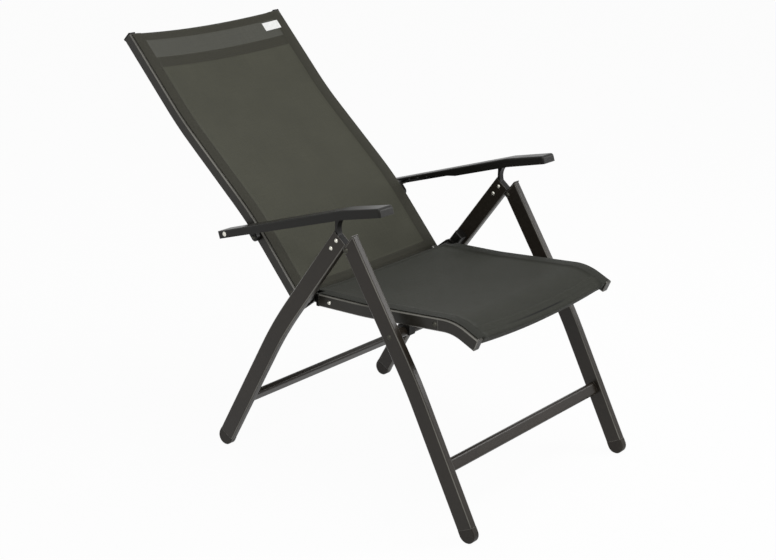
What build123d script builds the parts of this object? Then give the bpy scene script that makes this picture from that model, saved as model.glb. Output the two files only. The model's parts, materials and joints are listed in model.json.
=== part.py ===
from build123d import *
import math
import os

# Overall sizes, in millimetres and degrees
frame_width = 570.0        # over the outer faces of the legs
rail_gap = 27.0            # between a leg's inner face and the rails
arm_width = 44.0
arm_overhang = 15.0        # armrest's outer side beyond the leg's outer face
overrun = 5.0              # extra length of every cut

# Leg tubes
leg_depth = 40.0
leg_thick = 18.0
leg_wall = 1.6
leg_corner = 4.0
bore_corner = 1.4          # chamfer of the corners inside a leg tube
leg_bend = 1040.0          # bend radius of both pairs of legs
rear_reach = 352.0         # rear foot behind the middle of the base
rear_lean_low = 30.1
rear_lean_up = 37.3
rear_low_run = 361.6
rear_up_run = 307.0
front_lean_low = 27.6
front_lean_up = 32.5
front_up_run = 322.0
foot_skirt = 10.0          # straight part of a foot cap
sole_flat = 0.6            # flat cut off the round of a foot cap
cap_plug = 18.0            # how far a cap's plug reaches into its tube
fit_gap = 0.1              # side clearance of a plug in its tube
corner_gap = 0.8           # the same for a plug with sharp corners
edge_soft = 2.0            # rounding and chamfers of moulded edges

# Leg hinge and its bracket
hinge_drop = 8.0           # below the rear leg's top, along the leg
hinge_reach = 28.5         # in front of the rear leg's middle line
front_offset = 13.0        # front leg's middle line in front of the hinge
front_top_rise = 20.0
leg_fold = 63.0            # how far the fork lets the front legs swing back
fold_steps = 6
hinge_gap = 1.0            # between the front leg's top and the rear leg
top_cap_wall = 3.0
bracket_fit = 0.3          # bracket's ear and stub thinner than its tang, each side
ear_radius = 7.0
tang_length = 62.0
bolt_size = 8.0
bolt_play = 0.05
bolt_head = 13.0
bolt_head_rise = 3.2
rivet_size = 5.0
rivet_head = 9.0
rivet_head_rise = 2.0
crown_share = 0.55         # flat top of a low head, as a share of its size
rivet_first = 11.5         # rivets below the rear leg's top
rivet_pitch = 24.5
rivet_back = 2.5           # rivets behind the leg's middle line
arm_pivot_rise = 32.6      # above the rear leg's top, along the leg
arm_pivot_back = 31.5      # behind the rear leg's middle line
stub_radius = 8.8
stub_foot_back = 13.8
stub_foot_front = 16.5
stub_sink = 4.0            # stub's root below the tang's top
stub_scoop = 34.0

# Cross members of the leg frames
bar_tall = 28.0
bar_deep = 16.0
bar_corner = 6.0
bar_wall = 1.5
rear_bar_rise = 127.0      # above the foot, along the leg
front_bar_rise = 140.0
tube_size = 20.0
tube_wall = 1.5
tube_drop = 217.0          # upper cross tube below the front leg's top
screw_head = 12.0
screw_head_rise = 2.6
screw_size = 6.0
screw_reach = 12.0

# Seat and back pivot
pivot_drop = 212.0         # below the rear leg's top, along the leg
block_width = 24.0
block_above = 38.0
block_thick = 23.0
layer_gap = 0.3            # between parts that turn on one bolt
back_plate = 7.7
seat_plate = 7.7
knuckle_radius = 15.0
lug_radius = 9.5
plate_rise = 3.5           # back plate's upper lobe above its collar, along the rail

# Seat frame
rail_thick = 18.0
seat_depth = 27.0
rail_wall = 1.6
rail_corner = 2.0          # chamfer of the rails' corners
seat_axis_drop = 3.5       # pivot above the rail's middle line
seat_rail_gap = 17.5       # pivot to the rear end of the seat frame's collar
collar_length = 8.0
seat_rear_run = 135.0
seat_front_run = 200.9
seat_nose_run = 38.7
seat_end_run = 62.5
seat_rise_rear = 2.7
seat_rise_front = 5.5
seat_fall = 23.5
nose_bend = 106.0
nose_soft = 1.2
plug_length = 30.0
seat_bar = 18.0
bar_bend = 160.0
bar_bend_share = 0.45      # where a bowed bar bends, as a share of its half length
front_bar_back = 33.0      # front bar behind the nose's tip, along the nose
front_bar_bow = 15.0
rear_bar_ahead = 29.0      # rear bar in front of the pivot
rear_bar_drop = 12.0
rear_bar_size = 16.0
saddle_front = 16.0
saddle_rear = 12.0
saddle_lip = 5.0
saddle_play = 0.3
saddle_rear_rise = 7.5

# Back frame
back_depth = 26.0
back_axis_back = 44.7      # rail's middle line behind the pivot
back_end_drop = 3.0        # rail's end below the pivot, along the rail
back_angle_low = 48.5
back_angle_mid = 39.95
back_angle_top = 46.4
back_low_run = 218.6
back_mid_run = 290.0
back_top_run = 246.0
back_bend = 850.0
back_cap = 5.0
back_bar_low = 31.5        # bottom bar from the rail's end, along the rail
back_bar_top = 14.0        # top bar below the rail's top
back_bar_bow = 14.0

# Keder channel and slings
keder_size = 5.0
keder_room = 5.6
keder_sides = 8
keder_slot = 2.0
keder_inset = 6.0          # slot from the rail's outer face
keder_depth = 6.0          # channel centre under the rail's front face
keder_fin = 1.2
sling_thick = 1.2
seat_sag = 12.0
back_sag = 16.0
sag_steps = 4
sling_seat_tip = 4.0       # seat sling behind the nose's tip
sling_rear_over = 22.0     # seat sling behind the rails' rear ends
sling_back_low = 21.5      # back sling from the rail's lower end
sling_back_top = 3.0

# Armrest and its adjuster
arm_angle = 17.9           # slope of the armrest, rear end down
arm_top = 12.0             # top of the armrest above its pivot
arm_rear_low = 5.0         # lower edge under the pivot line at the rear
arm_front_low = 8.0
arm_rear_reach = 358.0
arm_front_reach = 131.0
arm_bend_reach = 27.0      # where the front part starts to slope
arm_front_fall = 9.5       # how far the front end lies lower
front_lift = 1.5           # how much less its lower edge falls
arm_wall = 2.6
arm_corner = 4.0
arm_nose = 7.0             # rounding of the front end's top, seen from the side
arm_pin_size = 8.0
arm_cheek = 4.0
arm_cheek_gap = 0.3
arm_cheek_radius = 8.5
arm_rivet_reach = 337.0
arm_rivet_low = 3.5
arm_rivet_head = 11.0
stop_reach = 306.0         # stop pin from the arm pivot, at the photographed pose
stop_low = 1.0             # stop pin under the arm pivot's line
stop_size = 6.4
stop_play = 0.3
rack_inset = 6.0
rack_thick = 12.0
rack_front_margin = 7.0    # rail beyond the stop pin's furthest places
rack_rear_margin = 2.0
notch_angles = [-8.0, 0.0, 8.75, 17.5, 26.25, 35.0]
notch_margin = 1.5         # turn of the back beyond the lowest notch
rack_last_angle = 42.0     # turn of the back where the pin leaves the rail
slot_last_angle = 56.0     # turn of the back where the pin leaves the armrest's side
path_steps = 12            # parts of the stop pin's path in the armrest
arm_ratio = 0.37           # armrest turn for each degree of the back
arm_drop = 0.55            # turn that drops the armrest into a notch
carrier_gap = 2.0          # between the carrier and the armrest's side
carrier_width = 19.0
carrier_above = 8.0        # carrier beyond the stop pin, along the rail
carrier_below = 29.0
carrier_rivet_drop = 19.0  # rivet below the stop pin, along the rail


# Points and directions in the side view, as (y, z)
def step(point, angle, distance):
    turn = math.radians(angle)
    return (point[0] + distance * math.cos(turn), point[1] + distance * math.sin(turn))


def turned(point, centre, angle):
    turn = math.radians(angle)
    y, z = point[0] - centre[0], point[1] - centre[1]
    return (centre[0] + y * math.cos(turn) - z * math.sin(turn),
            centre[1] + y * math.sin(turn) + z * math.cos(turn))


upright = 90.0
half_turn = 180.0
rear_up = upright + rear_lean_up
rear_front = rear_up + upright
front_up = upright - front_lean_up
front_front = front_up + upright

rear_foot = (rear_reach, leg_depth / 2)
rear_knee = step(rear_foot, upright + rear_lean_low, rear_low_run)
rear_top = step(rear_knee, rear_up, rear_up_run)
leg_hinge = step(step(rear_top, rear_up, -hinge_drop), rear_front, hinge_reach)
front_top = step(step(leg_hinge, front_up, front_top_rise), front_front, front_offset)
front_knee = step(front_top, front_up, -front_up_run)
front_low_run = (front_knee[1] - leg_depth / 2) / math.cos(math.radians(front_lean_low))
front_foot = step(front_knee, upright - front_lean_low, -front_low_run)
seat_pivot = step(rear_top, rear_up, -pivot_drop)
arm_pivot = step(step(rear_top, rear_up, arm_pivot_rise), rear_front, -arm_pivot_back)
tube_centre = step(front_top, front_up, -tube_drop)
rear_bar = step(rear_foot, upright + rear_lean_low, rear_bar_rise)
front_bar = step(front_foot, upright - front_lean_low, front_bar_rise)

leg_outer = frame_width / 2
leg_inner = leg_outer - leg_thick
leg_middle = leg_outer - leg_thick / 2
rail_outer = leg_inner - rail_gap
rail_inner = rail_outer - rail_thick
rail_middle = rail_outer - rail_thick / 2
stub_half = leg_thick / 2 - leg_wall - fit_gap - bracket_fit
arm_outer = leg_outer + arm_overhang
arm_inner = arm_outer - arm_width
block_inner = leg_inner - block_thick
back_plate_outer = block_inner - layer_gap
back_plate_inner = back_plate_outer - back_plate
seat_plate_outer = back_plate_inner - layer_gap
seat_plate_inner = seat_plate_outer - seat_plate
bolt_head_face = seat_plate_inner - layer_gap
turn_radius = hinge_reach - leg_depth / 2 - hinge_gap
mitre_reach = turn_radius - top_cap_wall
far_size = 4 * leg_depth

seat_start = (seat_pivot[0] - seat_rail_gap, seat_pivot[1] - seat_axis_drop)
seat_waist = step(seat_start, half_turn - seat_rise_rear, seat_rear_run)
seat_joint = step(seat_waist, half_turn - seat_rise_front, seat_front_run)
seat_crest = step(seat_joint, half_turn - seat_rise_front, seat_nose_run)
seat_tip = step(seat_crest, half_turn + seat_fall, seat_end_run)

back_front = back_angle_low + upright
back_foot = step(step(seat_pivot, back_front, -back_axis_back), back_angle_low, -back_end_drop)
back_knee = step(back_foot, back_angle_low, back_low_run)
back_neck = step(back_knee, back_angle_mid, back_mid_run)
back_head = step(back_neck, back_angle_top, back_top_run)

stop_pin = step(step(arm_pivot, -arm_angle, stop_reach), upright - arm_angle, -stop_low)


# General shapes
def side_plate(sketch, x_from, x_to):
    return extrude(Plane.YZ.offset(x_from) * sketch, amount=x_to - x_from, dir=(1, 0, 0))


def filled(outline):
    """Face inside a closed outline, always facing the same way."""
    face = make_face(outline).face()
    return Sketch() + (face if face.normal_at().Z > 0 else -face)


def disc(centre, radius):
    return Pos(*centre) * Circle(radius)


def bridge(start, end, width):
    """A straight band with round ends between two side-view points."""
    length = math.dist(start, end)
    angle = math.degrees(math.atan2(end[1] - start[1], end[0] - start[0]))
    middle = ((start[0] + end[0]) / 2, (start[1] + end[1]) / 2)
    band = Pos(*middle) * Rot(0, 0, angle) * Rectangle(length, width)
    return band + disc(start, width / 2) + disc(end, width / 2)


def patch(centre, angle, length, width):
    return Pos(*centre) * Rot(0, 0, angle) * Rectangle(length, width)


def cross_rod(centre, radius, x_from, x_to):
    return side_plate(disc(centre, radius), x_from, x_to)


def low_head(centre, size, rise, x_face, way):
    """A low cone-shaped head on a face at x_face, rising along way."""
    base = Plane(origin=(x_face, *centre), x_dir=(0, 1, 0), z_dir=(way, 0, 0))
    return base * Cone(size / 2, size / 2 * crown_share, rise, align=(Align.CENTER, Align.CENTER, Align.MIN))


def route(points, x):
    return [Vector(x, y, z) for y, z in points]


def tube_along(points, x, section, bend):
    corners = route(points, x)
    path = FilletPolyline(*corners, radius=bend) if len(points) > 2 else Line(*corners)
    start = Plane(origin=path @ 0, x_dir=(-1, 0, 0), z_dir=path % 0)
    return sweep(start * section, path=path)


def half_space(edge_point, angle, size):
    """A large square whose near side passes through edge_point, across the direction angle."""
    return patch(step(edge_point, angle, size / 2), angle, size, size)


def flipped(part):
    return mirror(part, about=Plane.YZ)


# Legs
def leg_section():
    outer = RectangleRounded(leg_thick, leg_depth, leg_corner)
    return outer - leg_bore(0)


def leg_bore(gap):
    """Inside of a leg tube, or a plug in it with a gap all round."""
    bore = Rectangle(leg_thick - 2 * leg_wall - 2 * gap, leg_depth - 2 * leg_wall - 2 * gap)
    return chamfer(bore.vertices(), bore_corner)


def foot_cap(centre, angle):
    """A half-round cap whose plug points up the tube along angle."""
    top = step(centre, angle, foot_skirt)
    skirt = patch(step(centre, angle, foot_skirt / 2 + overrun / 2), angle, foot_skirt + overrun, leg_depth)
    shell = side_plate(skirt + disc(centre, leg_depth / 2), leg_inner, leg_outer)
    sides = shell.faces().filter_by(Axis.X)
    shell = chamfer(sides.edges(), edge_soft)
    floor = half_space(step(centre, -upright, leg_depth / 2 - sole_flat), -upright, far_size)
    outside = floor + half_space(top, angle, far_size)
    shell = shell - side_plate(outside, leg_inner - overrun, leg_outer + overrun)
    return shell + tube_plug(top, angle, cap_plug)


def tube_plug(start, angle, length):
    """Plug in a leg tube, from start along angle."""
    turn = math.radians(angle)
    base = Plane(origin=(leg_middle, *start), x_dir=(1, 0, 0), z_dir=(0, math.cos(turn), math.sin(turn)))
    return extrude(base * leg_bore(fit_gap), amount=length)


def rear_leg():
    tube_end = step(rear_foot, upright + rear_lean_low, foot_skirt)
    leg = tube_along([tube_end, rear_knee, rear_top], leg_middle, leg_section(), leg_bend)
    notch_length = hinge_drop + ear_radius + bracket_fit
    notch_width = leg_thick - 2 * leg_wall
    face = step(step(rear_top, rear_up, -notch_length / 2), rear_front, leg_depth / 2)
    notch = patch(face, rear_up, notch_length + overrun / 2, 2 * leg_wall + overrun)
    leg = leg - side_plate(notch, leg_middle - notch_width / 2, leg_middle + notch_width / 2)
    for centre in bracket_rivet_places():
        leg = leg - cross_rod(centre, rivet_size / 2, leg_inner - overrun, leg_outer + overrun)
    return leg


def front_leg():
    tube_end = step(front_foot, upright - front_lean_low, foot_skirt)
    tube_top = step(front_top, front_up, front_top_rise)
    leg = tube_along([tube_end, front_knee, tube_top], leg_middle, leg_section(), leg_bend)
    mitre = half_space(step(leg_hinge, rear_front, -mitre_reach), rear_front + half_turn, far_size)
    leg = leg - side_plate(mitre, leg_inner - overrun, leg_outer + overrun)
    fork_width = leg_thick - 2 * leg_wall
    fork = side_plate(fork_room(), leg_middle - fork_width / 2, leg_middle + fork_width / 2)
    leg = leg - fork
    leg = leg - cross_rod(leg_hinge, bolt_size / 2, leg_inner - overrun, leg_outer + overrun)
    return leg - cross_rod(tube_centre, screw_size / 2, leg_inner - overrun, leg_outer + overrun)


def fork_room():
    """Open side of the front leg that the bracket's ear swings through."""
    room_width = 2 * (ear_radius + bracket_fit)
    ear_root = step(leg_hinge, rear_front, -hinge_reach)
    room = disc(leg_hinge, room_width / 2)
    for part in range(fold_steps + 1):
        turn = -leg_fold * part / fold_steps
        room = room + bridge(turned(ear_root, leg_hinge, turn), leg_hinge, room_width)
    return room


def front_leg_cap():
    """Moulded end of the front leg, cut to close against the rear leg and round the hinge."""
    leg_strip = patch(front_top, front_up, far_size, leg_depth)
    band_middle = step(leg_hinge, rear_front, -(turn_radius + mitre_reach) / 2)
    band = patch(band_middle, rear_front, top_cap_wall, far_size)
    outline = leg_strip & band
    behind = half_space(leg_hinge, rear_up + half_turn, far_size)
    outline = outline - behind + (outline & behind & disc(leg_hinge, turn_radius))
    cap = side_plate(outline, leg_inner, leg_outer)
    front_corner = cap.edges().filter_by(Axis.X).sort_by(Axis.Y)[0]
    cap = fillet(front_corner, top_cap_wall - fit_gap)
    slot_half = ear_radius + bracket_fit + fit_gap
    slot = half_space(step(band_middle, rear_up, slot_half), rear_up + half_turn, far_size)
    fork_half = leg_thick / 2 - leg_wall
    cap = cap - side_plate(slot, leg_middle - fork_half, leg_middle + fork_half)
    plug_strip = patch(front_top, front_up, far_size, leg_depth - 2 * leg_wall - 2 * corner_gap)
    plug_band = patch(step(band_middle, rear_front, top_cap_wall), rear_front, 2 * top_cap_wall, far_size)
    plug_half = fork_half - corner_gap
    plug = side_plate((plug_strip & plug_band) - slot, leg_middle - plug_half, leg_middle + plug_half)
    return cap + plug


def bracket_rivet_places():
    line = step(rear_top, rear_front, -rivet_back)
    return [step(line, rear_up, -rivet_first), step(line, rear_up, -rivet_first - rivet_pitch)]


def hinge_bracket():
    """Moulding in the rear leg's top with an ear for the front leg and a stub for the armrest."""
    ear = bridge(step(leg_hinge, rear_front, -hinge_reach), leg_hinge, 2 * ear_radius)
    root = step(rear_top, rear_up, -stub_sink)
    base_back = step(root, rear_front, -stub_foot_back)
    base_front = step(root, rear_front, stub_foot_front)
    side = step(arm_pivot, rear_front, stub_radius)
    other = step(arm_pivot, rear_front, -stub_radius)
    edge = Line(base_back, other) + Line(other, side) + RadiusArc(side, base_front, stub_scoop)
    stub = filled(edge + Line(base_front, base_back)) + disc(arm_pivot, stub_radius)
    body = side_plate(ear + stub, leg_middle - stub_half, leg_middle + stub_half)
    body = body + tube_plug(rear_top, rear_up + half_turn, tang_length)
    body = body - cross_rod(leg_hinge, bolt_size / 2 + bolt_play, leg_inner, leg_outer)
    body = body - cross_rod(arm_pivot, arm_pin_size / 2 + bolt_play, leg_inner, leg_outer)
    for centre in bracket_rivet_places():
        body = body - cross_rod(centre, rivet_size / 2, leg_inner, leg_outer)
    return body


def through_fastener(centre, size, head, rise):
    """A shank through the leg with a low head on each face."""
    shank = cross_rod(centre, size / 2, leg_inner, leg_outer)
    return shank + low_head(centre, head, rise, leg_outer, 1) + low_head(centre, head, rise, leg_inner, -1)


def bracket_rivets():
    own = [through_fastener(p, rivet_size, rivet_head, rivet_head_rise) for p in bracket_rivet_places()]
    return own + [flipped(p) for p in own]


def leg_hinge_bolts():
    bolt = through_fastener(leg_hinge, bolt_size, bolt_head, bolt_head_rise)
    return [bolt, flipped(bolt)]


# Cross members
def flat_bar(centre, lean):
    outer = RectangleRounded(bar_deep, bar_tall, bar_corner)
    inner = RectangleRounded(bar_deep - 2 * bar_wall, bar_tall - 2 * bar_wall, bar_corner - bar_wall)
    sketch = Pos(*centre) * Rot(0, 0, lean - upright) * (outer - inner)
    return side_plate(sketch, -leg_inner, leg_inner)


def upper_cross_tube():
    ring = disc(tube_centre, tube_size / 2) - disc(tube_centre, tube_size / 2 - tube_wall)
    tube = side_plate(ring, -leg_inner, leg_inner)
    end_plug = cross_rod(tube_centre, tube_size / 2 - tube_wall, leg_inner - 2 * screw_reach, leg_inner)
    end_plug = end_plug - cross_rod(tube_centre, screw_size / 2, leg_inner - screw_reach, leg_inner)
    return tube + end_plug + flipped(end_plug)


def cross_tube_screws():
    shank = cross_rod(tube_centre, screw_size / 2, leg_inner - screw_reach, leg_outer)
    screw = shank + low_head(tube_centre, screw_head, screw_head_rise, leg_outer, 1)
    return [screw, flipped(screw)]


# Pivot of seat and back
def pivot_block():
    body = patch(step(seat_pivot, rear_up, block_above / 2), rear_up, block_above, block_width)
    block = side_plate(body + disc(seat_pivot, block_width / 2), block_inner, leg_inner)
    top = block.faces().sort_by(Axis.X)[0]
    block = chamfer(top.edges(), edge_soft)
    return block - cross_rod(seat_pivot, bolt_size / 2, block_inner - overrun, leg_inner + overrun)


def pivot_bolts():
    shank = cross_rod(seat_pivot, bolt_size / 2, bolt_head_face, leg_inner)
    bolt = shank + low_head(seat_pivot, bolt_head, bolt_head_rise, bolt_head_face, -1)
    return [bolt, flipped(bolt)]


# Rails with a keder channel in the front face
def keder_shape(size):
    """Faceted round shape of the keder and its channel, across its flats."""
    turn = half_turn / keder_sides
    return Rot(0, 0, turn) * RegularPolygon(size / 2, keder_sides, major_radius=False)


def rail_outline(depth):
    return chamfer(Rectangle(rail_thick, depth).vertices(), rail_corner)


def keder_channel(depth):
    place = keder_inset - rail_thick / 2
    channel = Pos(place, depth / 2 - keder_depth) * keder_shape(keder_room)
    return channel + Pos(place, depth / 2) * Rectangle(keder_slot, 2 * keder_depth)


def rail_section(depth):
    room, low = rail_room(depth)
    inner = Pos(0, -low) * Rectangle(rail_thick - 2 * rail_wall, room)
    return rail_outline(depth) - inner - keder_channel(depth)


def rail_room(depth):
    """Width and middle of the open box under the keder channel."""
    shelf = keder_depth + keder_room / 2 + rail_wall
    room = depth - shelf - rail_wall
    return room, depth / 2 - rail_wall - room / 2


def seat_rail():
    corners = [seat_joint, seat_waist, step(seat_start, half_turn - seat_rise_rear, collar_length)]
    rail = tube_along(corners, rail_middle, rail_section(seat_depth), back_bend)
    for centre in (seat_rivet_place(), nose_screw_place()):
        rail = rail - cross_rod(centre, rivet_size / 2, rail_middle, rail_outer + overrun)
    return rail


def seat_rivet_place():
    return step(seat_start, half_turn - seat_rise_rear, collar_length + plug_length)


def nose_screw_place():
    return step(seat_joint, half_turn - seat_rise_front, -collar_length)


def back_rail():
    top = step(back_head, back_angle_top, -back_cap)
    corners = [step(back_foot, back_angle_low, collar_length), back_knee, back_neck, top]
    rail = tube_along(corners, rail_middle, rail_section(back_depth), back_bend)
    rail = rail - cross_rod(back_rivet_place(), rivet_size / 2, rail_middle, rail_outer + overrun)
    return rail - cross_rod(carrier_rivet_place(), rivet_size / 2, rail_middle, rail_outer + overrun)


def back_rivet_place():
    return step(back_foot, back_angle_low, collar_length + plug_length)


def rail_plug(start, angle, front, depth, length):
    """Plug in a rail's open box, from its end at start inward along angle."""
    room, low = rail_room(depth)
    middle = step(step(start, angle, length / 2), front, -low)
    half = rail_thick / 2 - rail_wall - fit_gap
    sketch = patch(middle, angle, length, room - 2 * fit_gap)
    return side_plate(sketch, rail_middle - half, rail_middle + half)


def seat_lug():
    """Black rear end of a seat rail, with the lug that turns on the pivot bolt."""
    way = half_turn - seat_rise_rear
    collar = patch(step(seat_start, way, collar_length / 2), way, collar_length, seat_depth)
    body = side_plate(collar, rail_inner, rail_outer)
    body = fillet(body.edges().filter_by(Axis.X).sort_by(Axis.Y)[-2:], edge_soft)
    lug = bridge(seat_pivot, step(seat_start, way, collar_length / 2), 2 * lug_radius)
    tip = half_space(step(seat_start, way, collar_length), way, far_size)
    plate = side_plate(lug - tip, seat_plate_inner, seat_plate_outer)
    plug = rail_plug(step(seat_start, way, collar_length), way, upright - seat_rise_rear, seat_depth,
                     2 * plug_length)
    body = body + plate + plug
    body = body - cross_rod(seat_pivot, bolt_size / 2 + bolt_play, seat_plate_inner - overrun, rail_outer)
    return body - cross_rod(seat_rivet_place(), rivet_size / 2, rail_middle, rail_outer)



def back_hinge():
    """Black foot of a back rail, with the plate that reaches forward to the pivot bolt."""
    collar_middle = step(back_foot, back_angle_low, collar_length / 2)
    collar = patch(collar_middle, back_angle_low, collar_length, back_depth)
    body = side_plate(collar, rail_inner, rail_outer)
    body = fillet(body.edges().filter_by(Axis.X).sort_by(Axis.Z)[:2], edge_soft)
    rail_side = step(collar_middle, back_angle_low, plate_rise)
    reach = make_hull(disc(seat_pivot, knuckle_radius).edges() + disc(collar_middle, back_depth / 2).edges()
                      + disc(rail_side, back_depth / 2).edges())
    plate = side_plate(reach, back_plate_inner, back_plate_outer)
    plate = plate - side_plate(rail_shadow(), rail_inner, rail_outer + layer_gap)
    plug = rail_plug(step(back_foot, back_angle_low, collar_length), back_angle_low, back_front, back_depth,
                     2 * plug_length)
    body = body + plate + plug
    body = body - cross_rod(seat_pivot, bolt_size / 2 + bolt_play, back_plate_inner - overrun,
                            back_plate_outer + overrun)
    return body - cross_rod(back_rivet_place(), rivet_size / 2, rail_middle, rail_outer)



def rail_shadow():
    start = step(back_foot, back_angle_low, collar_length)
    return patch(step(start, back_angle_low, far_size / 2), back_angle_low, far_size, back_depth)


def seat_nose():
    """Moulded front end of a seat rail, which rolls down over the front edge."""
    tip = step(seat_tip, half_turn + seat_fall, -sling_seat_tip)
    nose = tube_along([seat_tip, seat_crest, seat_joint], rail_middle, rail_outline(seat_depth), nose_bend)
    nose = chamfer(nose.faces().sort_by(Axis.Y)[0].edges(), nose_soft)
    nose = nose - tube_along([tip, seat_crest, seat_joint], rail_middle, keder_channel(seat_depth), nose_bend)
    way = -seat_rise_front
    plug = rail_plug(seat_joint, way, upright - seat_rise_front, seat_depth, plug_length)
    nose = nose + plug
    return nose - cross_rod(nose_screw_place(), rivet_size / 2, rail_middle, rail_outer)



def rail_fastener(centre, head, rise):
    own = cross_rod(centre, rivet_size / 2, rail_middle, rail_outer)
    own = own + low_head(centre, head, rise, rail_outer, 1)
    return [own, flipped(own)]


def seat_front_bar():
    place = step(seat_tip, half_turn + seat_fall, -front_bar_back)
    return bowed_bar(place, step(place, -upright, front_bar_bow), rail_inner)


def bowed_bar(end, middle, x_end):
    """Round bar between the rails, with a straight middle and a bend towards each end."""
    x_bend = x_end * bar_bend_share
    corners = [(-x_end, *end), (-x_bend, *middle), (x_bend, *middle), (x_end, *end)]
    path = FilletPolyline(*corners, radius=bar_bend)
    start = Plane(origin=path @ 0, z_dir=path % 0)
    bar = sweep(start * Circle(seat_bar / 2), path=path)
    trim_size = 4 * seat_bar
    for way in (1, -1):
        cut = Pos(way * (x_end + trim_size / 2), *end) * Box(trim_size, trim_size, trim_size)
        bar = bar - cut
    return bar


def seat_rear_bar():
    centre = (seat_pivot[0] - rear_bar_ahead, seat_pivot[1] - rear_bar_drop)
    ring = disc(centre, rear_bar_size / 2) - disc(centre, rear_bar_size / 2 - bar_wall)
    return side_plate(ring, -rail_inner, rail_inner)


def seat_saddle():
    """Cradle under a seat rail that drops over the upper cross tube."""
    under = step(seat_waist, upright - seat_rise_front, -seat_depth / 2)
    hollow = tube_size / 2 + saddle_play
    front, rear = tube_centre[0] - saddle_front, tube_centre[0] + saddle_rear
    slope = math.tan(math.radians(seat_rise_front))
    top_front = under[1] + (under[0] - front) * slope
    top_rear = under[1] + (under[0] - rear) * slope
    wall = Polygon((front, top_front), (front, tube_centre[1] - saddle_lip),
                   (tube_centre[0], tube_centre[1] - saddle_lip),
                   (tube_centre[0], tube_centre[1] + saddle_rear_rise),
                   (rear, tube_centre[1] + saddle_rear_rise), (rear, top_rear), align=None)
    drop = patch(step(tube_centre, -upright, hollow), upright, 2 * hollow, 2 * hollow)
    wall = wall - disc(tube_centre, hollow) - drop
    return side_plate(wall, rail_inner, rail_outer)


# Back cross bars and caps
def back_top_bar():
    line = step(back_head, back_angle_top, -back_bar_top)
    away = step(line, back_angle_top + upright, -back_bar_bow)
    return bowed_bar(line, away, rail_inner)


def back_bottom_bar():
    line = step(back_foot, back_angle_low, back_bar_low)
    away = step(line, back_front, -back_bar_bow)
    return bowed_bar(line, away, rail_inner)


def back_top_cap():
    cap = patch(step(back_head, back_angle_top, -back_cap / 2), back_angle_top, back_cap, back_depth)
    body = side_plate(cap, rail_inner, rail_outer)
    outer = body.faces().sort_by(Axis.Z)[-1]
    body = fillet(outer.edges(), edge_soft)
    start = step(back_head, back_angle_top, -back_cap)
    plug = rail_plug(start, back_angle_top + half_turn, back_angle_top + upright, back_depth, plug_length)
    return body + plug


# Slings with their keders
def keder_line(points, depth, bend):
    x = rail_outer - keder_inset
    rod = Pos(0, depth / 2 - keder_depth) * keder_shape(keder_size)
    fin_tall = keder_depth
    fin = Pos(0, depth / 2 - fin_tall / 2) * Rectangle(keder_fin, fin_tall)
    return tube_along(points, x, rod + fin, bend)


def seat_route(tip_short):
    tip = step(seat_tip, half_turn + seat_fall, -tip_short)
    start = step(seat_start, half_turn - seat_rise_rear, collar_length)
    return [tip, seat_crest, seat_waist, start]


def seat_keders():
    first = seat_route(sling_seat_tip)
    keder = keder_line([first[0], first[1], seat_joint], seat_depth, nose_bend)
    rest = keder_line([seat_joint, first[2], first[3]], seat_depth, back_bend)
    whole = keder + rest
    return [whole, flipped(whole)]


def back_route(top_short):
    low = step(back_foot, back_angle_low, sling_back_low)
    top = step(back_head, back_angle_top, -top_short)
    return [low, back_knee, back_neck, top]


def back_keders():
    keder = keder_line(back_route(back_cap), back_depth, back_bend)
    return [keder, flipped(keder)]


def sheet_outline(points, bends, lift, shift):
    """Closed side outline of a sheet that runs along points, lifted off their line."""
    path = FilletPolyline(*[Vector(y, z) for y, z in points], radius=bends)
    near = offset_line(path, lift)
    far = offset_line(path, lift + sling_thick)
    closing = Line(near @ 1, far @ 1) + Line(far @ 0, near @ 0)
    return Pos(*shift) * filled(near + far + closing)


def offset_line(path, distance):
    """The same run of lines and arcs, moved sideways by distance."""
    pieces = []
    for edge in path.edges():
        start, end = edge @ 0, edge @ 1
        side_a = side_step(edge, 0, distance)
        side_b = side_step(edge, 1, distance)
        if edge.geom_type == GeomType.LINE:
            pieces.append(Line(side_a, side_b))
        else:
            half = 0.5
            pieces.append(ThreePointArc(side_a, side_step(edge, half, distance), side_b))
    whole = pieces[0]
    for piece in pieces[1:]:
        whole = whole + piece
    return whole


def side_step(edge, share, distance):
    tangent = edge % share
    return edge @ share + Vector(-tangent.Y, tangent.X) * distance


def sling(border_points, web_points, bends, lift, sag_way, sag):
    """Sheet over both rails, with a middle that sags between them."""
    border_face = sheet_outline(border_points, bends, lift, (0, 0))
    sections = []
    for part in range(sag_steps + 1):
        across = 2 * part / sag_steps - 1
        depth = sag * (1 - across ** 2)
        face = sheet_outline(web_points, bends, lift, step((0, 0), sag_way, depth))
        sections.append(Plane.YZ.offset(across * rail_inner) * face)
    web = loft(sections, ruled=True)
    border = side_plate(border_face, rail_inner, rail_outer - keder_inset + keder_fin / 2)
    return web + border + flipped(border)


def seat_sling():
    border = seat_route(sling_seat_tip)
    web = border[:-1] + [step(seat_start, half_turn - seat_rise_rear, -sling_rear_over)]
    return sling(border, web, [nose_bend, back_bend], seat_depth / 2, -upright, seat_sag)


def back_sling():
    line = back_route(sling_back_top)
    return sling(line, line, [back_bend, back_bend], back_depth / 2, back_front + half_turn, back_sag)


# Armrests, in a frame whose origin is the arm pivot
def arm_point(u, v):
    return step(step(arm_pivot, -arm_angle, u), upright - arm_angle, v)


def arm_outline(inset):
    """Side outline of the armrest, with its top and ends moved in by inset."""
    top = arm_top - inset
    rear = arm_rear_reach - inset
    front = -arm_front_reach + inset
    low = overrun if inset else 0
    points = [(rear, -arm_rear_low - low), (rear, top), (-arm_bend_reach, top),
              (front, top - arm_front_fall), (front, -arm_front_low - arm_front_fall + front_lift - low),
              (-arm_bend_reach, -arm_front_low - low)]
    return Polygon(*[arm_point(u, v) for u, v in points], align=None)


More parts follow.
